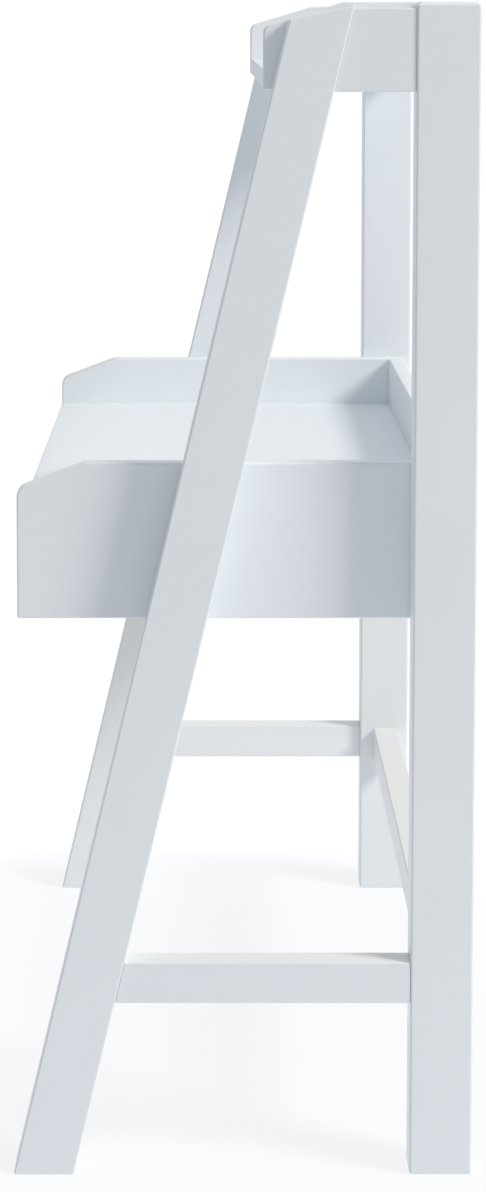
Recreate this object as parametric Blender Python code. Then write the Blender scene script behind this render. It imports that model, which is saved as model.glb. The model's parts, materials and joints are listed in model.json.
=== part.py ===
"""Ladder-frame writing desk with a hutch shelf.

Two side frames (leaning front leg, upright rear post, low stretcher and deep
top rail) carry a drawer case and a shelf tray hung inboard between them, and a
low stretcher ties the rear posts.  Metres, +Z up, front of the desk towards -Y,
origin on the floor at the middle of the outline.
"""

import math

import bmesh
import bpy
from mathutils import Matrix, Vector

for old in list(bpy.data.objects):
    bpy.data.objects.remove(old, do_unlink=True)

# ------------------------------------------------------------ driving sizes
WIDTH = 1.000          # over the outer faces of the side frames
DEPTH = 0.5376         # front foot to the back of the rear posts
HEIGHT = 1.372         # top of the rear posts
GAP = 0.0003           # paint gap between touching pieces

FRAME_T = 0.045        # legs and posts, across the width
PANEL_T = 0.021        # case and tray boards
STRETCHER_T = 0.0335   # low side stretchers
STRETCHER_SET = 0.0015   # stretchers and top rails stand back from the outer face
TOP_RAIL_SET = 0.0025

LEAN = 0.2369          # leg: backward run per metre of rise
LEG_RUN = 0.0705       # leg, measured level from front to back
LEG_TOP_Z = 1.3680     # rear top corner of the leg
POST_D = 0.0731        # post, front to back

STRETCHER_Z = (0.2070, 0.2557)
TOP_RAIL_Z = (1.2699, 1.3649)
REAR_STRETCHER_Y = (0.2162, 0.2522)

CASE_FRONT = -0.2640   # front edge of the case sides
CASE_Z = (0.6533, 0.8374)
SURFACE_Z = 0.7687     # writing surface
TRAY_FRONT = 0.0227    # front edge of the hutch tray
TRAY_Z = (1.2710, 1.3720)
SHELF_Z = (1.2714, 1.2938)
SIDE_REAR = 0.2600     # rear edge of case and tray sides
BACK_Y = (0.2346, 0.2556)
CASE_SLOPE = (0.0805, 0.375, 0.0155)   # sides at their front: run, fall per metre of run, corner radius
TRAY_SLOPE = (0.0931, 0.303, 0.0115)
CREST_R = 0.0100       # soft crest where the slope starts

POST_EDGE = 0.0030     # eased edges
POST_TOP = 0.0045      # chamfer round the top of the posts
LEG_EDGE = 0.0022
RAIL_EDGE = 0.0020
PANEL_EDGE = 0.0022

TONGUE = 0.0070        # boards let into the sides
TENON_T = 0.0140
TENON_LEG = 0.0250
TENON_POST = 0.0180

DRAWER_Z = (0.6680, 0.7360)
DRAWER_FRONT_Z = (0.6553, 0.7447)
DRAWER_FRONT_T = 0.0180
DRAWER_WALL = 0.0120
DRAWER_BACK_Y = 0.2000
DRAWER_BASE_Z = (0.6760, 0.6810)
SCOOP_HALF = 0.0750    # finger scoop in the lower edge of the drawer front
SCOOP_RISE = 0.0210
SLIDE_SPACE = 0.0127   # case side to drawer side
SLIDE_Y = (-0.2440, 0.1560)
SLIDE_MID_Z = 0.7040

BOLT_R = 0.0030
BOLT_HEAD_R = 0.0060
BOLT_LENGTH = 0.0500
BOLT_BORE_R = 0.0036

# ------------------------------------------------------------ derived places
FOOT_TIP = 0.000254    # the eased tip of the slanting foot draws the outline back by twice this
Y_FRONT = -DEPTH / 2 - FOOT_TIP
Y_BACK = DEPTH / 2 - FOOT_TIP
FRAME_IN = WIDTH / 2 - FRAME_T
FRAME_MID = WIDTH / 2 - FRAME_T / 2
PANEL_OUT = FRAME_IN - GAP
PANEL_IN = PANEL_OUT - PANEL_T
STRETCHER_OUT = WIDTH / 2 - STRETCHER_SET
STRETCHER_X = (STRETCHER_OUT - STRETCHER_T, STRETCHER_OUT)
TOP_RAIL_X = (FRAME_IN, WIDTH / 2 - TOP_RAIL_SET)   # its inner face backs the tray side
POST_FRONT = Y_BACK - POST_D
BOARD_HALF = PANEL_IN - GAP
TONGUE_HALF = PANEL_IN + TONGUE
DRAWER_OUT = PANEL_IN - SLIDE_SPACE
DRAWER_IN = DRAWER_OUT - DRAWER_WALL
DRAWER_BACK_OF_FRONT = CASE_FRONT + DRAWER_FRONT_T
INNER_FRONT_Y = (DRAWER_BACK_OF_FRONT + GAP, DRAWER_BACK_OF_FRONT + GAP + DRAWER_WALL)


def leg_front(z):
    return Y_FRONT + LEAN * z


def leg_rear(z):
    return Y_FRONT + LEG_RUN + LEAN * z


STRETCHER_MID = sum(STRETCHER_Z) / 2
TOP_RAIL_MID = sum(TOP_RAIL_Z) / 2
STRETCHER_TENON_Z = (STRETCHER_MID - 0.015, STRETCHER_MID + 0.015)
TOP_RAIL_TENON_Z = (TOP_RAIL_MID - 0.025, TOP_RAIL_MID + 0.025)
TENON_X = (FRAME_MID - TENON_T / 2, FRAME_MID + TENON_T / 2)

# bolts through the sides into the legs and posts: (y, z)
CASE_BOLTS = {
    "leg_lower": (leg_front(0.664) + LEG_RUN / 2, 0.664),
    "leg_upper": (leg_front(0.737) + LEG_RUN / 2, 0.737),
    "post_lower": (0.2240, 0.664),
    "post_upper": (0.2240, 0.737),
}
SHELF_BOLTS = {"leg": (0.0700, 1.318), "post": (0.2240, 1.328)}

CAM_X = FRAME_IN - 0.0343
CAM_Y = REAR_STRETCHER_Y[1] - 0.0090
CAM_R = 0.0075
CAM_DEPTH = 0.0125
STUD_BORE_R = 0.0042

SCREW_X = 0.250
SCREW_Z = 0.7040


# ------------------------------------------------------------ small tools
def material(name, colour, roughness, metallic=0.0):
    mat = bpy.data.materials.new(name)
    mat.use_nodes = True
    shader = mat.node_tree.nodes["Principled BSDF"]
    shader.inputs["Base Color"].default_value = (*colour, 1.0)
    shader.inputs["Roughness"].default_value = roughness
    shader.inputs["Metallic"].default_value = metallic
    mat.diffuse_color = (*colour, 1.0)
    return mat


WHITE_PAINT = ((0.86, 0.90, 0.94), 0.48, 0.0)
DRAWER_WOOD = ((0.62, 0.47, 0.31), 0.55, 0.0)
ZINC_STEEL = ((0.62, 0.63, 0.65), 0.32, 1.0)
BLACK_STEEL = ((0.10, 0.10, 0.11), 0.40, 1.0)
CAST_ZINC = ((0.50, 0.51, 0.53), 0.45, 1.0)


def node(name, bm, finish, origin=None, parent=None):
    """One named solid from a bmesh given in world metres."""
    bmesh.ops.recalc_face_normals(bm, faces=bm.faces[:])
    mesh = bpy.data.meshes.new(name)
    if origin is None:
        lo = Vector([min(v.co[i] for v in bm.verts) for i in range(3)])
        hi = Vector([max(v.co[i] for v in bm.verts) for i in range(3)])
        origin = (lo + hi) / 2
    origin = Vector(origin)
    bm.transform(Matrix.Translation(-origin))
    bm.to_mesh(mesh)
    bm.free()
    mesh.shade_smooth()
    mesh.set_sharp_from_angle(angle=math.radians(35))
    obj = bpy.data.objects.new(name, mesh)
    bpy.context.scene.collection.objects.link(obj)
    obj.data.materials.append(material("mat_" + name, *finish))
    if parent is not None:
        obj.parent = parent
        obj.location = origin - parent.location
    else:
        obj.location = origin
    return obj


def prism(outline, axis, lo, hi):
    """A closed outline pushed along an axis.

    axis X takes (y, z) points, axis Y takes (x, z), axis Z takes (x, y).
    """
    place = {
        "X": lambda a, b, t: (t, a, b),
        "Y": lambda a, b, t: (a, t, b),
        "Z": lambda a, b, t: (a, b, t),
    }[axis]
    bm = bmesh.new()
    base = [bm.verts.new(place(a, b, lo)) for a, b in outline]
    face = bm.faces.new(base)
    grown = bmesh.ops.extrude_face_region(bm, geom=[face])
    moved = [e for e in grown["geom"] if isinstance(e, bmesh.types.BMVert)]
    step = Vector(place(0.0, 0.0, hi - lo)) if axis != "X" else Vector((hi - lo, 0, 0))
    bmesh.ops.translate(bm, verts=moved, vec=step)
    bmesh.ops.recalc_face_normals(bm, faces=bm.faces[:])
    return bm


def block(x, y, z):
    return prism([(y[0], z[0]), (y[1], z[0]), (y[1], z[1]), (y[0], z[1])], "X", x[0], x[1])


def ease(bm, width, keep=None, segments=3):
    """Rounds the sharp outside edges; keep(mid, along) chooses among them."""
    chosen = []
    for e in bm.edges:
        if len(e.link_faces) != 2 or e.calc_face_angle(0.0) < math.radians(50):
            continue
        mid = (e.verts[0].co + e.verts[1].co) / 2
        along = (e.verts[1].co - e.verts[0].co).normalized()
        if keep is None or keep(mid, along):
            chosen.append(e)
    bmesh.ops.bevel(
        bm,
        geom=chosen,
        offset=width,
        offset_type="OFFSET",
        segments=segments,
        profile=0.5,
        affect="EDGES",
        clamp_overlap=True,
    )
    return bm


def turned(profile, axis, centre, sides=16):
    """A turned solid: (distance along the axis, radius) points, end to end."""
    bm = bmesh.new()
    rings = []
    for along, radius in profile:
        if radius <= 0.0:
            rings.append([bm.verts.new((along, 0.0, 0.0))])
            continue
        ring = []
        for i in range(sides):
            a = 2.0 * math.pi * (i + 0.5) / sides
            ring.append(bm.verts.new((along, radius * math.cos(a), radius * math.sin(a))))
        rings.append(ring)
    for one, two in zip(rings, rings[1:]):
        for i in range(sides):
            j = (i + 1) % sides
            if len(one) == 1:
                bm.faces.new((one[0], two[i], two[j]))
            elif len(two) == 1:
                bm.faces.new((one[i], one[j], two[0]))
            else:
                bm.faces.new((one[i], one[j], two[j], two[i]))
    turn = {
        "X": Matrix.Identity(4),
        "-X": Matrix.Rotation(math.pi, 4, "Z"),
        "Y": Matrix.Rotation(math.pi / 2, 4, "Z"),
        "-Y": Matrix.Rotation(-math.pi / 2, 4, "Z"),
    }[axis]
    bm.transform(Matrix.Translation(Vector(centre)) @ turn)
    bmesh.ops.recalc_face_normals(bm, faces=bm.faces[:])
    return bm


def rod(axis, centre, length, radius, sides=16):
    return turned([(0.0, 0.0), (0.0, radius), (length, radius), (length, 0.0)], axis, centre, sides)


def shaped(obj, tool_meshes, operation):
    """Cuts or joins helper solids into obj."""
    joined = bmesh.new()
    for tool in tool_meshes:
        mesh = bpy.data.meshes.new("helper")
        tool.to_mesh(mesh)
        tool.free()
        joined.from_mesh(mesh)
        bpy.data.meshes.remove(mesh)
    mesh = bpy.data.meshes.new(obj.name + "_" + operation.lower())
    joined.to_mesh(mesh)
    joined.free()
    helper = bpy.data.objects.new(obj.name + "_" + operation.lower(), mesh)
    bpy.context.scene.collection.objects.link(helper)
    helper.hide_render = True
    helper.display_type = "WIRE"
    step = obj.modifiers.new(operation.title(), "BOOLEAN")
    step.operation = operation
    step.solver = "EXACT"
    step.object = helper
    return obj


def sided(side, lo, hi):
    """An X range given for the right side, mirrored for the left."""
    return (lo, hi) if side > 0 else (-hi, -lo)


def rounded(points, radii, steps):
    """Replaces outline corners by arcs tangent to both neighbours."""
    out = []
    count = len(points)
    for i, p in enumerate(points):
        r = radii[i]
        if r <= 0.0:
            out.append(p)
            continue
        here = Vector(p)
        before = (Vector(points[i - 1]) - here).normalized()
        after = (Vector(points[(i + 1) % count]) - here).normalized()
        half = before.angle(after) / 2
        reach = r / math.tan(half)
        centre = here + (before + after).normalized() * (r / math.sin(half))
        start = here + before * reach - centre
        end = here + after * reach - centre
        swing = start.angle_signed(end)
        for k in range(steps[i] + 1):
            # angle_signed is clockwise positive in the plane
            a = -swing * k / steps[i]
            c, s = math.cos(a), math.sin(a)
            q = centre + Vector((c * start.x - s * start.y, s * start.x + c * start.y))
            out.append((q.x, q.y))
    return out


def upright(x, y, height, edge, chamfer):
    """A post: rounded upright edges and foot, and a deeper softened chamfer round its top."""
    quarter = [math.pi / 6 * k for k in range(4)]
    levels = [(edge * (1 - math.sin(a)), edge * (1 - math.cos(a))) for a in quarter]
    levels += [(chamfer * inset, height - chamfer * down) for inset, down in ((0, 1.16), (0.13, 0.80), (0.80, 0.13), (1.16, 0))]
    bm = bmesh.new()
    rings = []
    for inset, z in levels:
        x0, x1, y0, y1 = x[0] + inset, x[1] - inset, y[0] + inset, y[1] - inset
        outline = rounded([(x0, y0), (x1, y0), (x1, y1), (x0, y1)], [edge] * 4, [3] * 4)
        rings.append([bm.verts.new((a, b, z)) for a, b in outline])
    for one, two in zip(rings, rings[1:]):
        for i in range(len(one)):
            j = (i + 1) % len(one)
            bm.faces.new((one[i], one[j], two[j], two[i]))
    bm.faces.new(rings[0])
    bm.faces.new(rings[-1])
    bmesh.ops.recalc_face_normals(bm, faces=bm.faces[:])
    return bm


def side_board(front, z, slope):
    """Outline of a case or tray side: sloped, rounded front corner."""
    slope_run, fall, corner_r = slope
    corner = (front, z[1] - fall * slope_run)
    points = [
        (front, z[0]),
        (SIDE_REAR, z[0]),
        (SIDE_REAR, z[1]),
        (front + slope_run, z[1]),
        corner,
    ]
    return rounded(points, [0, 0, 0, CREST_R, corner_r], [0, 0, 0, 3, 6])


def grown(x, y, z, extra=GAP):
    return block((x[0] - extra, x[1] + extra), (y[0] - extra, y[1] + extra), (z[0] - extra, z[1] + extra))


# tongues of the boards, which the sides are grooved for: (y range, z range)
TOP_TONGUE = ((CASE_FRONT + 0.016, BACK_Y[0] - 0.012), (SURFACE_Z - 0.0157, SURFACE_Z - 0.0053))
CASE_BACK_TONGUE = ((BACK_Y[0] + 0.0055, BACK_Y[1] - 0.0055), (CASE_Z[0] + 0.015, CASE_Z[1] - 0.015))
SHELF_TONGUE = ((TRAY_FRONT + 0.016, BACK_Y[0] - 0.012), (SHELF_Z[0] + 0.006, SHELF_Z[0] + 0.016))
SHELF_BACK_TONGUE = ((BACK_Y[0] + 0.0055, BACK_Y[1] - 0.0055), (TRAY_Z[0] + 0.028, TRAY_Z[1] - 0.014))


def stretcher_tenon(x, z, tenon_z, extra=0.0):
    mid = sum(z) / 2
    y = (leg_rear(mid) - TENON_LEG, POST_FRONT + TENON_POST)
    return grown(x, y, tenon_z, extra)


# ------------------------------------------------------------ side frames
for side, tag in ((1, "right"), (-1, "left")):
    frame_x = sided(side, FRAME_IN, WIDTH / 2)
    tenon_x = sided(side, *TENON_X)
    inward = "X" if side > 0 else "-X"

    mortises = lambda: [
        stretcher_tenon(tenon_x, STRETCHER_Z, STRETCHER_TENON_Z, GAP),
        stretcher_tenon(tenon_x, TOP_RAIL_Z, TOP_RAIL_TENON_Z, GAP),
    ]

    def bores(names):
        cut = []
        for y, z in names:
            cut.append(rod(inward, (side * (FRAME_IN - 0.004), y, z), 0.004 + BOLT_LENGTH - PANEL_T + 0.0015, BOLT_BORE_R))
        return cut

    # leaning front leg: level foot, top cut falling towards the front
    top_front_z = LEG_TOP_Z - LEAN * LEG_RUN / (1 + LEAN * LEAN)
    leg = [
        (leg_front(0.0), 0.0),
        (leg_rear(0.0), 0.0),
        (leg_rear(LEG_TOP_Z), LEG_TOP_Z),
        (leg_front(top_front_z), top_front_z),
    ]
    leg = node("front_leg_" + tag, ease(prism(leg, "X", *frame_x), LEG_EDGE), WHITE_PAINT)
    shaped(
        leg,
        mortises() + bores([CASE_BOLTS["leg_lower"], CASE_BOLTS["leg_upper"], SHELF_BOLTS["leg"]]),
        "DIFFERENCE",
    )

    # upright rear post
    post = node(
        "rear_post_" + tag,
        upright(frame_x, (POST_FRONT, Y_BACK), HEIGHT, POST_EDGE, POST_TOP),
        WHITE_PAINT,
    )
    shaped(
        post,
        mortises()
        + bores([CASE_BOLTS["post_lower"], CASE_BOLTS["post_upper"], SHELF_BOLTS["post"]])
        + [rod(inward, (side * (FRAME_IN - 0.004), CAM_Y, STRETCHER_MID), 0.0215, BOLT_BORE_R)],
        "DIFFERENCE",
    )

    # low stretcher and deep top rail, shouldered to the leaning leg
    lies_along = lambda mid, along: abs(along.y) > 0.9
    for name, x, z, tenon_z in (
        ("side_stretcher_", STRETCHER_X, STRETCHER_Z, STRETCHER_TENON_Z),
        ("top_rail_", TOP_RAIL_X, TOP_RAIL_Z, TOP_RAIL_TENON_Z),
    ):
        shoulder = GAP * math.sqrt(1 + LEAN * LEAN)
        outline = [
            (leg_rear(z[0]) + shoulder, z[0]),
            (POST_FRONT - GAP, z[0]),
            (POST_FRONT - GAP, z[1]),
            (leg_rear(z[1]) + shoulder, z[1]),
        ]
        rail = node(name + tag, ease(prism(outline, "X", *sided(side, *x)), RAIL_EDGE, lies_along), WHITE_PAINT)
        shaped(rail, [stretcher_tenon(tenon_x, z, tenon_z)], "UNION")

    # case side and tray side, grooved for their boards and bored for the bolts
    panel_x = sided(side, PANEL_IN, PANEL_OUT)
    groove_x = sided(side, PANEL_IN - 0.004, TONGUE_HALF)

    def through(names):
        return [rod(inward, (side * (PANEL_IN - 0.004), y, z), PANEL_T + 0.008, BOLT_BORE_R) for y, z in names]

    case_side = node(
        "desk_side_" + tag,
        ease(prism(side_board(CASE_FRONT, CASE_Z, CASE_SLOPE), "X", *panel_x), PANEL_EDGE),
        WHITE_PAINT,
    )
    shaped(
        case_side,
        [grown(groove_x, *TOP_TONGUE), grown(groove_x, *CASE_BACK_TONGUE)] + through(CASE_BOLTS.values()),
        "DIFFERENCE",
    )
    tray_side = node(
        "shelf_side_" + tag,
        ease(prism(side_board(TRAY_FRONT, TRAY_Z, TRAY_SLOPE), "X", *panel_x), PANEL_EDGE),
        WHITE_PAINT,
    )
    shaped(
        tray_side,
        [grown(groove_x, *SHELF_TONGUE), grown(groove_x, *SHELF_BACK_TONGUE)] + through(SHELF_BOLTS.values()),
        "DIFFERENCE",
    )

# ------------------------------------------------------------ cross pieces
along_x = lambda mid, along: abs(along.x) > 0.9

stretcher = node(
    "rear_stretcher",
    ease(block((-FRAME_IN + GAP, FRAME_IN - GAP), REAR_STRETCHER_Y, STRETCHER_Z), RAIL_EDGE, along_x),
    WHITE_PAINT,
)
shaped(
    stretcher,
    [rod("X", (CAM_X - 0.006, CAM_Y, STRETCHER_MID), 0.060, STUD_BORE_R),
     rod("-X", (-CAM_X + 0.006, CAM_Y, STRETCHER_MID), 0.060, STUD_BORE_R)],
    "DIFFERENCE",
)
shaped(
    bpy.data.objects["rear_stretcher"],
    [rod("-Y", (CAM_X, REAR_STRETCHER_Y[1] + 0.004, STRETCHER_MID), 0.004 + CAM_DEPTH + 0.0005, CAM_R + 0.0005, 24),
     rod("-Y", (-CAM_X, REAR_STRETCHER_Y[1] + 0.004, STRETCHER_MID), 0.004 + CAM_DEPTH + 0.0005, CAM_R + 0.0005, 24)],
    "DIFFERENCE",
)

front_only = lambda mid, along: abs(along.x) > 0.9 and mid.y < CASE_FRONT + 0.002
top = node(
    "desk_top",
    ease(block((-BOARD_HALF, BOARD_HALF), (CASE_FRONT, BACK_Y[0] - GAP), (SURFACE_Z - PANEL_T, SURFACE_Z)), PANEL_EDGE, front_only),
    WHITE_PAINT,
)
shaped(top, [block((-TONGUE_HALF, TONGUE_HALF), *TOP_TONGUE)], "UNION")

back = node(
    "desk_back",
    ease(block((-BOARD_HALF, BOARD_HALF), BACK_Y, CASE_Z), PANEL_EDGE, along_x),
    WHITE_PAINT,
)
shaped(back, [block((-TONGUE_HALF, TONGUE_HALF), *CASE_BACK_TONGUE)], "UNION")

shelf_front = lambda mid, along: abs(along.x) > 0.9 and mid.y < TRAY_FRONT + 0.002
shelf = node(
    "shelf_board",
    ease(block((-BOARD_HALF, BOARD_HALF), (TRAY_FRONT + 0.0004, BACK_Y[0] - GAP), SHELF_Z), PANEL_EDGE, shelf_front),
    WHITE_PAINT,
)
shaped(shelf, [block((-TONGUE_HALF, TONGUE_HALF), *SHELF_TONGUE)], "UNION")

shelf_back = node(
    "shelf_back",
    ease(block((-BOARD_HALF, BOARD_HALF), BACK_Y, TRAY_Z), PANEL_EDGE, along_x),
    WHITE_PAINT,
)
shaped(shelf_back, [block((-TONGUE_HALF, TONGUE_HALF), *SHELF_BACK_TONGUE)], "UNION")

# ------------------------------------------------------------ drawer
carriage = bpy.data.objects.new("drawer_carriage", None)
carriage.location = (0.0, CASE_FRONT, SLIDE_MID_Z)
bpy.context.scene.collection.objects.link(carriage)

# inset front with a finger scoop in its lower edge
half = PANEL_IN - 0.0020
low, high = DRAWER_FRONT_Z
scoop = []
for k in range(17):
    x = -SCOOP_HALF + 2 * SCOOP_HALF * k / 16
    scoop.append((x, low + SCOOP_RISE * 0.5 * (1 + math.cos(math.pi * x / SCOOP_HALF))))
outline = [(-half, low)] + scoop + [(half, low), (half, high), (-half, high)]
front = node(
    "drawer_front",
    ease(prism(outline, "Y", CASE_FRONT, DRAWER_BACK_OF_FRONT), 0.0020, segments=2),
    WHITE_PAINT,
    parent=carriage,
)
shaped(
    front,
    [rod("-Y", (s * SCREW_X, DRAWER_BACK_OF_FRONT + 0.003, SCREW_Z), 0.003 + 0.0075, 0.0026, 12) for s in (1, -1)],
    "DIFFERENCE",
)

inner = node(
    "drawer_inner_front",
    block((-DRAWER_IN + GAP, DRAWER_IN - GAP), INNER_FRONT_Y, DRAWER_Z),
    DRAWER_WOOD,
    parent=carriage,
)
base_x = (-DRAWER_IN - 0.0047, DRAWER_IN + 0.0047)
base_y = (INNER_FRONT_Y[1] - 0.0047, DRAWER_BACK_Y)
shaped(
    inner,
    [grown(base_x, base_y, DRAWER_BASE_Z)]
    + [rod("Y", (s * SCREW_X, INNER_FRONT_Y[0] - 0.003, SCREW_Z), 0.018, 0.0026, 12) for s in (1, -1)],
    "DIFFERENCE",
)

upper = lambda mid, along: abs(along.y) > 0.9 and mid.z > DRAWER_Z[1] - 0.001
for side, tag in ((1, "right"), (-1, "left")):
    wall = node(
        "drawer_side_" + tag,
        ease(block(sided(side, DRAWER_IN, DRAWER_OUT), (INNER_FRONT_Y[0], DRAWER_BACK_Y), DRAWER_Z), 0.0015, upper, 2),
        DRAWER_WOOD,
        parent=carriage,
    )
    shaped(wall, [grown(base_x, (INNER_FRONT_Y[0] - 0.004, DRAWER_BACK_Y + 0.004), DRAWER_BASE_Z)], "DIFFERENCE")

upper_x = lambda mid, along: abs(along.x) > 0.9 and mid.z > DRAWER_Z[1] - 0.001
node(
    "drawer_back",
    ease(
        block((-DRAWER_IN + GAP, DRAWER_IN - GAP), (DRAWER_BACK_Y - DRAWER_WALL, DRAWER_BACK_Y), (DRAWER_BASE_Z[1] + GAP, DRAWER_Z[1])),
        0.0015,
        upper_x,
        2,
    ),
    DRAWER_WOOD,
    parent=carriage,
)
node("drawer_bottom", block(base_x, base_y, DRAWER_BASE_Z), DRAWER_WOOD, parent=carriage)


def channel(web, tip, outer, inner, y, side):
    """Rolled C section of a drawer slide: web at one X, flange tips at the other."""
    a, b = web
    z = SLIDE_MID_Z
    points = [
        (a, z - outer), (tip, z - outer), (tip, z - inner), (b, z - inner),
        (b, z + inner), (tip, z + inner), (tip, z + outer), (a, z + outer),
    ]
    return prism([(side * px, pz) for px, pz in points], "Y", *y)


for side, tag in ((1, "right"), (-1, "left")):
    wall = PANEL_IN
    node(
        "slide_case_" + tag,
        channel((wall - 0.0003, wall - 0.0016), wall - 0.0105, 0.0225, 0.0212, SLIDE_Y, side),
        ZINC_STEEL,
    )
    node(
        "slide_middle_" + tag,
        channel((wall - 0.0025, wall - 0.0037), wall - 0.0114, 0.0192, 0.0180, (SLIDE_Y[0] + 0.001, SLIDE_Y[1]), side),
        ZINC_STEEL,
        origin=(side * (wall - 0.0070), SLIDE_Y[0] + 0.001, SLIDE_MID_Z),
    )
    node(
        "slide_drawer_" + tag,
        channel((wall - 0.0124, wall - 0.0111), wall - 0.0047, 0.0160, 0.0148, (SLIDE_Y[0] + 0.002, SLIDE_Y[1]), side),
        ZINC_STEEL,
        parent=carriage,
    )

# ------------------------------------------------------------ fasteners
BOLT = [
    (-0.0035, 0.0), (-0.0035, 0.0042), (-0.0028, 0.0055), (-0.0014, BOLT_HEAD_R), (0.0, BOLT_HEAD_R),
    (0.0, BOLT_R), (BOLT_LENGTH - 0.0012, BOLT_R), (BOLT_LENGTH, 0.0020), (BOLT_LENGTH, 0.0),
]
for side, tag in ((1, "right"), (-1, "left")):
    inward = "X" if side > 0 else "-X"
    for group, places in (("case_bolt_", CASE_BOLTS), ("shelf_bolt_", SHELF_BOLTS)):
        for where, (y, z) in places.items():
            seat = (side * (PANEL_IN - GAP), y, z)
            bolt = node(group + where + "_" + tag, turned(BOLT, inward, seat), BLACK_STEEL, origin=seat)
            key = turned(
                [(-0.0060, 0.0), (-0.0060, 0.0023), (-0.0012, 0.0023), (-0.0012, 0.0)],
                inward,
                (0.0, 0.0, 0.0),
                6,
            )
            shaped(bolt, [key], "DIFFERENCE")
            bpy.data.objects[bolt.name + "_difference"].location = seat

    stud = [
        (CAM_X - 0.0030, 0.0), (CAM_X - 0.0030, 0.0026), (CAM_X - 0.0008, 0.0034), (CAM_X + 0.0010, 0.0020),
        (CAM_X + 0.0060, 0.0020), (CAM_X + 0.0070, 0.0034), (FRAME_IN - 0.0008, 0.0034), (FRAME_IN - 0.0004, 0.0030),
        (FRAME_IN + 0.0140, 0.0030), (FRAME_IN + 0.0155, 0.0018), (FRAME_IN + 0.0155, 0.0),
    ]
    node("cam_stud_" + tag, turned(stud, inward, (0.0, CAM_Y, STRETCHER_MID)), ZINC_STEEL)
    cam_centre = (side * CAM_X, REAR_STRETCHER_Y[1] - 0.0004, STRETCHER_MID)
    cam = node(
        "cam_lock_" + tag,
        turned([(0.0, 0.0), (0.0, CAM_R - 0.0006), (0.0006, CAM_R), (CAM_DEPTH - 0.0006, CAM_R), (CAM_DEPTH - 0.0006, 0.0)], "-Y", cam_centre, 24),
        CAST_ZINC,
    )
    level_slot = [
        block((side * CAM_X - 0.0045, side * CAM_X + 0.0045), (cam_centre[1] - 0.0022, cam_centre[1] + 0.004), (STRETCHER_MID - 0.0009, STRETCHER_MID + 0.0009)),
    ]
    upright_slot = [
        block((side * CAM_X - 0.0009, side * CAM_X + 0.0009), (cam_centre[1] - 0.0022, cam_centre[1] + 0.004), (STRETCHER_MID - 0.0045, STRETCHER_MID + 0.0045)),
    ]
    pocket = [rod(inward, (side * (CAM_X - 0.0045), CAM_Y, STRETCHER_MID), 0.020, STUD_BORE_R)]
    # the helpers share one place in the world, so the cam keeps them separate
    for number, tool in enumerate((pocket, level_slot, upright_slot)):
        shaped(cam, tool, "DIFFERENCE")
        made = bpy.context.scene.collection.objects[-1]
        made.name = "cam_lock_%s_cut_%d" % (tag, number)

for side, tag in ((1, "right"), (-1, "left")):
    seat = (side * SCREW_X, INNER_FRONT_Y[1] + GAP, SCREW_Z)
    screw = [
        (-0.0022, 0.0), (-0.0022, 0.0022), (-0.0014, 0.0036), (0.0, 0.0040), (0.0, 0.0020),
        (0.0165, 0.0020), (0.0185, 0.0006), (0.0185, 0.0),
    ]
    made = node("drawer_front_screw_" + tag, turned(screw, "-Y", seat, 12), ZINC_STEEL, origin=seat, parent=carriage)
    shaped(
        made,
        [block((seat[0] - 0.0024, seat[0] + 0.0024), (seat[1] + 0.0012, seat[1] + 0.006), (SCREW_Z - 0.0005, SCREW_Z + 0.0005))],
        "DIFFERENCE",
    )
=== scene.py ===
"""Looks of the painted writing desk with a hutch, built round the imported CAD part."""

import json
import math

import bpy
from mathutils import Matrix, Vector

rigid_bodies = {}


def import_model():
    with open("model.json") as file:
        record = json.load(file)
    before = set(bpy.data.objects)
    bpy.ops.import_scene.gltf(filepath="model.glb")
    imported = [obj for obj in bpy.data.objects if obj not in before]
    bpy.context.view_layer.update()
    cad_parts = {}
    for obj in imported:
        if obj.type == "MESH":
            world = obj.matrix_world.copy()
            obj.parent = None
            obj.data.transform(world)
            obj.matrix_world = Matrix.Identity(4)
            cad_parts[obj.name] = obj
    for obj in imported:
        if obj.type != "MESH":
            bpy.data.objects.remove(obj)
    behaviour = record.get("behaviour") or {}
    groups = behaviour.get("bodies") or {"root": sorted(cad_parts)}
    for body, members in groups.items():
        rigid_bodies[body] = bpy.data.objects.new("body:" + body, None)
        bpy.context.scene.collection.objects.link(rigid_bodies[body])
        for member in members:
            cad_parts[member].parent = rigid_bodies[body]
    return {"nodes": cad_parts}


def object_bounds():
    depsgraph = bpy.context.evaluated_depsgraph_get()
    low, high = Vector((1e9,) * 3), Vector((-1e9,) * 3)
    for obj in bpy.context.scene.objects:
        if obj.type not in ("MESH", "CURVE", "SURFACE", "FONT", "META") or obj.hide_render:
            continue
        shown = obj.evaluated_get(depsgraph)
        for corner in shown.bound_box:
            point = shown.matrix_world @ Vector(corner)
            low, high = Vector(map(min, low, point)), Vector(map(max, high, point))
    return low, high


for old in list(bpy.data.objects):
    bpy.data.objects.remove(old, do_unlink=True)

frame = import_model()
cad_lo, cad_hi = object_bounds()
nodes = frame["nodes"]
scene = bpy.context.scene

LEAN = 0.2369          # backward run of the front legs per metre of rise


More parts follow.
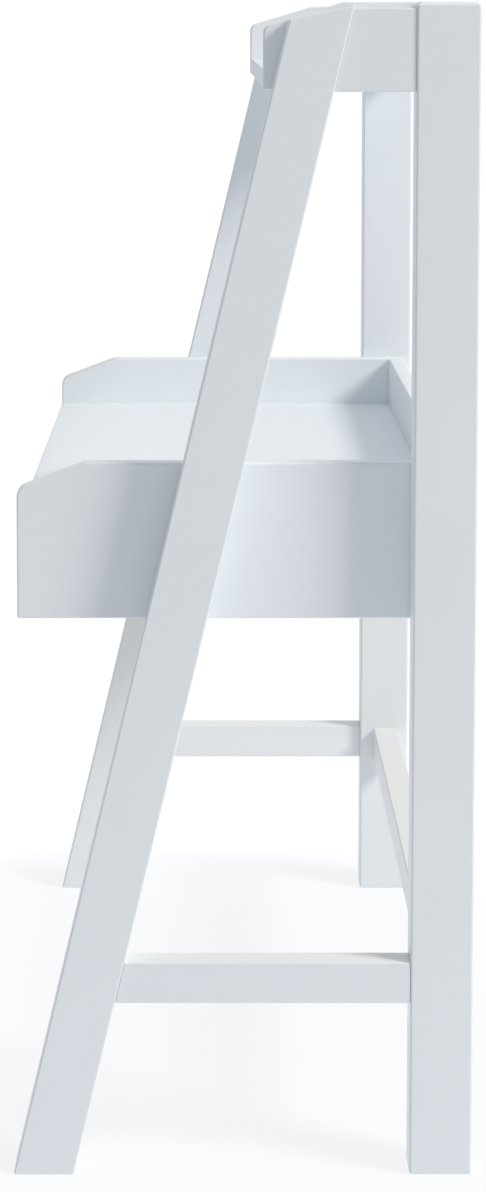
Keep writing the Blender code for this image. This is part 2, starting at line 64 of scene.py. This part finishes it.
# ------------------------------------------------------------ node helpers
class Graph:
    """Short hand for building one material's node tree."""

    def __init__(self, name):
        self.mat = bpy.data.materials.new(name)
        self.mat.use_nodes = True
        self.tree = self.mat.node_tree
        self.tree.nodes.clear()
        self.out = self.add("ShaderNodeOutputMaterial")
        self.coord = self.add("ShaderNodeTexCoord")

    def add(self, kind, **values):
        node = self.tree.nodes.new(kind)
        for key, value in values.items():
            setattr(node, key, value)
        return node

    def link(self, source, target):
        self.tree.links.new(source, target)

    def place(self, turn, scale):
        """Object coordinates in metres, turned into the board's own axes, then scaled."""
        turned = self.add("ShaderNodeMapping", vector_type="POINT")
        turned.inputs["Rotation"].default_value = turn
        self.link(self.coord.outputs["Object"], turned.inputs["Vector"])
        scaled = self.add("ShaderNodeMapping", vector_type="POINT")
        scaled.inputs["Scale"].default_value = scale
        self.link(turned.outputs["Vector"], scaled.inputs["Vector"])
        return scaled.outputs["Vector"]

    def noise(self, vector, scale, detail=2.0, rough=0.5, distortion=0.0):
        node = self.add("ShaderNodeTexNoise")
        self.link(vector, node.inputs["Vector"])
        node.inputs["Scale"].default_value = scale
        node.inputs["Detail"].default_value = detail
        node.inputs["Roughness"].default_value = rough
        node.inputs["Distortion"].default_value = distortion
        return node.outputs["Fac"]

    def ramp(self, fac, stops, ease="LINEAR"):
        node = self.add("ShaderNodeValToRGB")
        node.color_ramp.interpolation = ease
        points = node.color_ramp.elements
        while len(points) < len(stops):
            points.new(0.5)
        for point, (pos, colour) in zip(points, stops):
            point.position = pos
            point.color = (*colour, 1.0)
        self.link(fac, node.inputs["Fac"])
        return node.outputs["Color"]

    def span(self, fac, lo, hi, a=0.3, b=0.7):
        node = self.add("ShaderNodeMapRange")
        node.inputs["From Min"].default_value = a
        node.inputs["From Max"].default_value = b
        node.inputs["To Min"].default_value = lo
        node.inputs["To Max"].default_value = hi
        self.link(fac, node.inputs["Value"])
        return node.outputs["Result"]

    def blend(self, a, b, fac, mode="MIX"):
        node = self.add("ShaderNodeMix", data_type="RGBA", blend_type=mode)
        self.link(a, node.inputs[6])
        self.link(b, node.inputs[7])
        if isinstance(fac, float):
            node.inputs["Factor"].default_value = fac
        else:
            self.link(fac, node.inputs["Factor"])
        return node.outputs[2]

    def math(self, op, a, b):
        node = self.add("ShaderNodeMath", operation=op)
        for value, socket in ((a, node.inputs[0]), (b, node.inputs[1])):
            if isinstance(value, float):
                socket.default_value = value
            else:
                self.link(value, socket)
        return node.outputs[0]

    def bump(self, height, strength, distance, normal=None):
        node = self.add("ShaderNodeBump")
        node.inputs["Strength"].default_value = strength
        node.inputs["Distance"].default_value = distance
        self.link(height, node.inputs["Height"])
        if normal is not None:
            self.link(normal, node.inputs["Normal"])
        return node.outputs["Normal"]

    def principled(self, colour, rough, normal, metallic=0.0, ior=1.5, coat=0.0):
        node = self.add("ShaderNodeBsdfPrincipled")
        self.link(colour, node.inputs["Base Color"])
        self.link(rough, node.inputs["Roughness"])
        if normal is not None:
            self.link(normal, node.inputs["Normal"])
        node.inputs["Metallic"].default_value = metallic
        node.inputs["IOR"].default_value = ior
        node.inputs["Coat Weight"].default_value = coat
        self.link(node.outputs["BSDF"], self.out.inputs["Surface"])
        return node


# board axes: the texture's X runs along the grain
GRAIN_TURN = {
    "x": (0.0, 0.0, 0.0),
    "y": (0.0, 0.0, -math.pi / 2),
    "z": (0.0, math.pi / 2, 0.0),
}


def white_paint(name, turn):
    """Cool white satin paint, sprayed on sanded solid wood: a fine peel, and the grain just telegraphing through."""
    g = Graph(name)
    board = g.place(turn, (1.0, 1.0, 1.0))
    along = g.place(turn, (2.2, 60.0, 60.0))
    peel = g.noise(board, 420.0, 2.0, 0.45)
    fibre = g.noise(along, 3.0, 4.0, 0.6, 0.15)
    cloud = g.noise(board, 5.5, 3.0, 0.5)
    tone = g.ramp(
        cloud,
        [(0.25, (0.851, 0.892, 0.928)), (0.50, (0.860, 0.901, 0.937)), (0.78, (0.869, 0.909, 0.945))],
    )
    pores = g.ramp(fibre, [(0.28, (0.970, 0.973, 0.976)), (0.46, (1.0, 1.0, 1.0))])
    colour = g.blend(tone, pores, 0.35, "MULTIPLY")
    rough = g.span(g.math("ADD", g.math("MULTIPLY", peel, 0.45), g.math("MULTIPLY", cloud, 0.55)), 0.40, 0.54)
    normal = g.bump(peel, 0.08, 0.00012)
    normal = g.bump(fibre, 0.06, 0.00012, normal)
    g.principled(colour, rough, normal, ior=1.46)
    return g.mat


def drawer_wood(name, turn):
    """Clear-lacquered light hardwood with straight grain, darker late wood and short pores."""
    g = Graph(name)
    board = g.place(turn, (1.0, 1.0, 1.0))
    along = g.place(turn, (0.9, 16.0, 16.0))
    fine = g.place(turn, (6.0, 260.0, 260.0))
    warp = g.noise(along, 1.3, 3.0, 0.55, 0.4)
    # growth rings round a far pith: long flames on flat boards, straight lines on the edges
    rings = g.add("ShaderNodeTexWave", wave_type="RINGS", rings_direction="X", wave_profile="SAW")
    rings.inputs["Scale"].default_value = 3.6
    rings.inputs["Distortion"].default_value = 4.0
    rings.inputs["Detail"].default_value = 1.5
    rings.inputs["Detail Scale"].default_value = 0.22
    g.link(along, rings.inputs["Vector"])
    pores = g.noise(fine, 1.0, 2.0, 0.6)
    early = g.ramp(rings.outputs["Fac"], [(0.0, (0.690, 0.535, 0.358)), (0.60, (0.655, 0.498, 0.322)), (0.90, (0.575, 0.418, 0.258)), (1.0, (0.690, 0.535, 0.358))])
    late = g.ramp(warp, [(0.25, (0.80, 0.78, 0.75)), (0.70, (1.0, 1.0, 1.0))])
    colour = g.blend(early, late, 0.7, "MULTIPLY")
    dots = g.ramp(pores, [(0.30, (0.72, 0.66, 0.60)), (0.44, (1.0, 1.0, 1.0))])
    colour = g.blend(colour, dots, 0.6, "MULTIPLY")
    rough = g.span(g.math("ADD", g.math("MULTIPLY", pores, 0.5), g.math("MULTIPLY", warp, 0.5)), 0.42, 0.60)
    normal = g.bump(pores, 0.25, 0.00025)
    normal = g.bump(rings.outputs["Fac"], 0.12, 0.00030, normal)
    g.principled(colour, rough, normal, ior=1.48)
    return g.mat


def rolled_zinc(name, turn):
    """Bright zinc plate on rolled steel: streaks along the rolling, a little spangle."""
    g = Graph(name)
    board = g.place(turn, (1.0, 1.0, 1.0))
    streak = g.noise(g.place(turn, (5.0, 420.0, 420.0)), 1.0, 3.0, 0.6)
    cell = g.add("ShaderNodeTexVoronoi", feature="F1")
    cell.inputs["Scale"].default_value = 190.0
    g.link(board, cell.inputs["Vector"])
    tone = g.ramp(streak, [(0.25, (0.545, 0.555, 0.575)), (0.75, (0.690, 0.700, 0.715))])
    spangle = g.ramp(cell.outputs["Distance"], [(0.0, (1.0, 1.0, 1.0)), (0.9, (0.90, 0.91, 0.93))])
    colour = g.blend(tone, spangle, 0.6, "MULTIPLY")
    rough = g.span(streak, 0.44, 0.56)
    normal = g.bump(streak, 0.03, 0.00010)
    g.principled(colour, rough, normal, metallic=1.0)
    return g.mat


def blackened(name):
    """Blackened steel of socket-head bolts: oily dark oxide, worn a little paler in patches."""
    g = Graph(name)
    board = g.place((0.0, 0.0, 0.0), (1.0, 1.0, 1.0))
    patch = g.noise(board, 260.0, 3.0, 0.6)
    grit = g.noise(board, 2400.0, 2.0, 0.5)
    colour = g.ramp(patch, [(0.30, (0.060, 0.060, 0.066)), (0.62, (0.100, 0.100, 0.108)), (0.80, (0.170, 0.168, 0.170))])
    rough = g.span(patch, 0.32, 0.52)
    g.principled(colour, rough, g.bump(grit, 0.2, 0.00005), metallic=1.0)
    return g.mat


def die_cast(name):
    """As-cast zinc: grainy, dull grey."""
    g = Graph(name)
    board = g.place((0.0, 0.0, 0.0), (1.0, 1.0, 1.0))
    patch = g.noise(board, 320.0, 3.0, 0.6)
    grit = g.noise(board, 1900.0, 3.0, 0.6)
    colour = g.ramp(patch, [(0.28, (0.430, 0.440, 0.460)), (0.72, (0.560, 0.570, 0.590))])
    rough = g.span(grit, 0.40, 0.60)
    g.principled(colour, rough, g.bump(grit, 0.35, 0.00008), metallic=1.0)
    return g.mat


# ------------------------------------------------------------ finishes of the CAD nodes
LEAN_TURN = (math.atan(LEAN), math.pi / 2, 0.0)

paint = {axis: white_paint("satin_white_" + axis, turn) for axis, turn in GRAIN_TURN.items()}
paint["lean"] = white_paint("satin_white_lean", LEAN_TURN)
wood = {axis: drawer_wood("drawer_wood_" + axis, GRAIN_TURN[axis]) for axis in ("x", "y")}
zinc = rolled_zinc("rolled_zinc", GRAIN_TURN["y"])
zinc_pin = rolled_zinc("turned_zinc", GRAIN_TURN["x"])
black = blackened("blackened_steel")
cast = die_cast("die_cast_zinc")

FINISH = [
    ("front_leg_", paint["lean"]), ("rear_post_", paint["z"]),
    ("side_stretcher_", paint["y"]), ("top_rail_", paint["y"]), ("rear_stretcher", paint["x"]),
    ("desk_side_", paint["y"]), ("desk_top", paint["x"]), ("desk_back", paint["x"]),
    ("shelf_side_", paint["y"]), ("shelf_board", paint["x"]), ("shelf_back", paint["x"]),
    ("drawer_front_screw_", zinc_pin), ("drawer_front", paint["x"]),
    ("drawer_inner_front", wood["x"]), ("drawer_side_", wood["y"]), ("drawer_back", wood["x"]), ("drawer_bottom", wood["x"]),
    ("slide_", zinc), ("case_bolt_", black), ("shelf_bolt_", black),
    ("cam_stud_", zinc_pin), ("cam_lock_", cast),
]


def smoothing_group():
    """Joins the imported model's split corners and shades its eased edges smoothly; the shape isn't touched."""
    group = bpy.data.node_groups.new("eased_edges", "GeometryNodeTree")
    group.interface.new_socket("Geometry", in_out="INPUT", socket_type="NodeSocketGeometry")
    group.interface.new_socket("Geometry", in_out="OUTPUT", socket_type="NodeSocketGeometry")
    make = group.nodes.new
    enter, leave = make("NodeGroupInput"), make("NodeGroupOutput")
    merge = make("GeometryNodeMergeByDistance")
    merge.inputs["Distance"].default_value = 0.00002
    plain = make("GeometryNodeRemoveAttribute")
    plain.inputs["Name"].default_value = "custom_normal"
    faces = make("GeometryNodeSetShadeSmooth")
    faces.domain = "FACE"
    faces.inputs["Shade Smooth"].default_value = True
    edges = make("GeometryNodeSetShadeSmooth")
    edges.domain = "EDGE"
    edges.inputs["Shade Smooth"].default_value = False
    angle = make("GeometryNodeInputMeshEdgeAngle")
    sharp = make("FunctionNodeCompare")
    sharp.data_type = "FLOAT"
    sharp.operation = "GREATER_THAN"
    sharp.inputs["B"].default_value = math.radians(34.0)
    link = group.links.new
    link(enter.outputs[0], merge.inputs["Geometry"])
    link(merge.outputs["Geometry"], plain.inputs["Geometry"])
    link(plain.outputs["Geometry"], faces.inputs["Geometry"])
    link(faces.outputs["Geometry"], edges.inputs["Geometry"])
    link(angle.outputs["Unsigned Angle"], sharp.inputs["A"])
    link(sharp.outputs["Result"], edges.inputs["Selection"])
    link(edges.outputs["Geometry"], leave.inputs[0])
    return group


smoothing = smoothing_group()
for name, obj in nodes.items():
    finish = next(mat for start, mat in FINISH if name.startswith(start))
    obj.data.materials.clear()
    obj.data.materials.append(finish)
    step = obj.modifiers.new("Smooth edges", "NODES")
    step.node_group = smoothing
    weigh = obj.modifiers.new("Flat boards", "WEIGHTED_NORMAL")
    weigh.mode = "FACE_AREA"
    weigh.keep_sharp = True

# ------------------------------------------------------------ stage
def camera_split(tree, seen, unseen, out_socket):
    """What the camera sees of the white studio, and what lights the object."""
    path = tree.nodes.new("ShaderNodeLightPath")
    mix = tree.nodes.new("ShaderNodeMixShader")
    tree.links.new(path.outputs["Is Camera Ray"], mix.inputs["Fac"])
    tree.links.new(unseen, mix.inputs[1])
    tree.links.new(seen, mix.inputs[2])
    tree.links.new(mix.outputs["Shader"], out_socket)


world = bpy.data.worlds.new("studio")
scene.world = world
world.use_nodes = True
wt = world.node_tree
wt.nodes.clear()
w_out = wt.nodes.new("ShaderNodeOutputWorld")
white = wt.nodes.new("ShaderNodeBackground")
white.inputs["Color"].default_value = (1.0, 1.0, 1.0, 1.0)
white.inputs["Strength"].default_value = 1.02
dome = wt.nodes.new("ShaderNodeBackground")
dome.inputs["Color"].default_value = (0.976, 1.0, 1.036, 1.0)
# how brightly the white studio shines from each side, fading smoothly between them
SIDES = [
    ((1.0, 0.0, 0.0), 0.309), ((-1.0, 0.0, 0.0), 0.750), ((0.0, 0.0, 1.0), 0.368),
    ((0.0, 0.0, -1.0), 0.643),
]
way = wt.nodes.new("ShaderNodeTexCoord")
total = None
for side, strength in SIDES:
    dot = wt.nodes.new("ShaderNodeVectorMath")
    dot.operation = "DOT_PRODUCT"
    dot.inputs[1].default_value = side
    wt.links.new(way.outputs["Generated"], dot.inputs[0])
    towards = wt.nodes.new("ShaderNodeMath")
    towards.operation = "MAXIMUM"
    towards.inputs[1].default_value = 0.0
    wt.links.new(dot.outputs["Value"], towards.inputs[0])
    share = wt.nodes.new("ShaderNodeMath")
    share.operation = "MULTIPLY_ADD"
    share.inputs[1].default_value = strength
    share.inputs[2].default_value = 0.0
    wt.links.new(towards.outputs[0], share.inputs[0])
    if total is not None:
        wt.links.new(total, share.inputs[2])
    total = share.outputs[0]
wt.links.new(total, dome.inputs["Strength"])
camera_split(wt, white.outputs[0], dome.outputs[0], w_out.inputs["Surface"])

floor_mesh = bpy.data.meshes.new("studio_floor")
half = 30.0
floor_mesh.from_pydata(
    [(-half, -half, -0.0002), (half, -half, -0.0002), (half, half, -0.0002), (-half, half, -0.0002)], [], [(0, 1, 2, 3)]
)
floor = bpy.data.objects.new("studio_floor", floor_mesh)
scene.collection.objects.link(floor)
floor_mat = bpy.data.materials.new("studio_white")
floor_mat.use_nodes = True
ft = floor_mat.node_tree
ft.nodes.clear()
f_out = ft.nodes.new("ShaderNodeOutputMaterial")
glow = ft.nodes.new("ShaderNodeEmission")
glow.inputs["Color"].default_value = (0.989, 1.0, 1.021, 1.0)
glow.inputs["Strength"].default_value = 0.796
catch = ft.nodes.new("ShaderNodeBsdfDiffuse")
catch.inputs["Color"].default_value = (0.18, 0.18, 0.18, 1.0)
both = ft.nodes.new("ShaderNodeAddShader")
ft.links.new(glow.outputs[0], both.inputs[0])
ft.links.new(catch.outputs[0], both.inputs[1])
# beyond the object's footprint the floor runs out into the white background
bare = ft.nodes.new("ShaderNodeEmission")
bare.inputs["Color"].default_value = (1.0, 1.0, 1.0, 1.0)
bare.inputs["Strength"].default_value = 1.02
spot = ft.nodes.new("ShaderNodeTexCoord")
away = spot.outputs["Object"]
for step, value in (("ABSOLUTE", None), ("SUBTRACT", (cad_hi[0], cad_hi[1], cad_hi[2])), ("MAXIMUM", (0.0, 0.0, 0.0))):
    part = ft.nodes.new("ShaderNodeVectorMath")
    part.operation = step
    ft.links.new(away, part.inputs[0])
    if value is not None:
        part.inputs[1].default_value = value
    away = part.outputs["Vector"]
reach = ft.nodes.new("ShaderNodeVectorMath")
reach.operation = "LENGTH"
ft.links.new(away, reach.inputs[0])
fade = ft.nodes.new("ShaderNodeMapRange")
fade.interpolation_type = "SMOOTHSTEP"
fade.inputs["From Min"].default_value = 0.0
fade.inputs["From Max"].default_value = 0.20
ft.links.new(reach.outputs["Value"], fade.inputs["Value"])
ground = ft.nodes.new("ShaderNodeMixShader")
ft.links.new(fade.outputs["Result"], ground.inputs["Fac"])
ft.links.new(both.outputs[0], ground.inputs[1])
ft.links.new(bare.outputs[0], ground.inputs[2])
ft.links.new(ground.outputs[0], f_out.inputs["Surface"])
floor_mesh.materials.append(floor_mat)
# the floor only shows: the even white studio lights the object from below as well
floor.visible_diffuse = False
floor.visible_glossy = False
floor.visible_transmission = False
floor.visible_shadow = False


def area_light(name, place, target, size, watts, colour=(1.0, 1.0, 1.0)):
    data = bpy.data.lights.new(name, "AREA")
    data.shape = "SQUARE"
    data.size = size
    data.energy = watts
    data.color = colour
    obj = bpy.data.objects.new(name, data)
    scene.collection.objects.link(obj)
    obj.location = place
    obj.rotation_euler = (Vector(target) - Vector(place)).to_track_quat("-Z", "Y").to_euler()
    obj.visible_camera = False
    return obj


DAYLIGHT = (0.912, 0.948, 1.000)
area_light("key_softbox", (4.00, 7.87, 7.33), (0.0, 0.0, 0.75), 2.75, 830.0, (0.985, 0.945, 0.880))
area_light("front_softbox", (0.10, -1.80, 1.90), (-0.20, 0.10, 0.90), 1.2, 3.3, DAYLIGHT)
area_light("top_softbox", (0.45, 0.15, 3.40), (0.45, 0.15, 0.0), 1.0, 2.4, DAYLIGHT)
# light thrown back up by the white floor, which itself only shows
area_light("floor_bounce", (0.30, 0.0, -0.01), (0.30, 0.0, 5.0), 5.0, 29.7, DAYLIGHT)

# ------------------------------------------------------------ camera
cam_data = bpy.data.cameras.new("camera")
camera = bpy.data.objects.new("camera", cam_data)
scene.collection.objects.link(camera)
cam_data.sensor_fit = "AUTO"
cam_data.sensor_width = 36.0
cam_data.lens = 73.954
cam_data.shift_x = 0.0278
cam_data.shift_y = -0.3092
cam_data.clip_start = 0.05
cam_data.clip_end = 100.0
camera.location = (3.2714, -0.0385, 1.3490)
camera.rotation_euler = (math.radians(90.0 - 4.798), 0.0, math.radians(90.0))
scene.camera = camera

scene.view_settings.view_transform = "Standard"
scene.view_settings.look = "None"
scene.view_settings.exposure = 0.0
scene.view_settings.gamma = 1.0
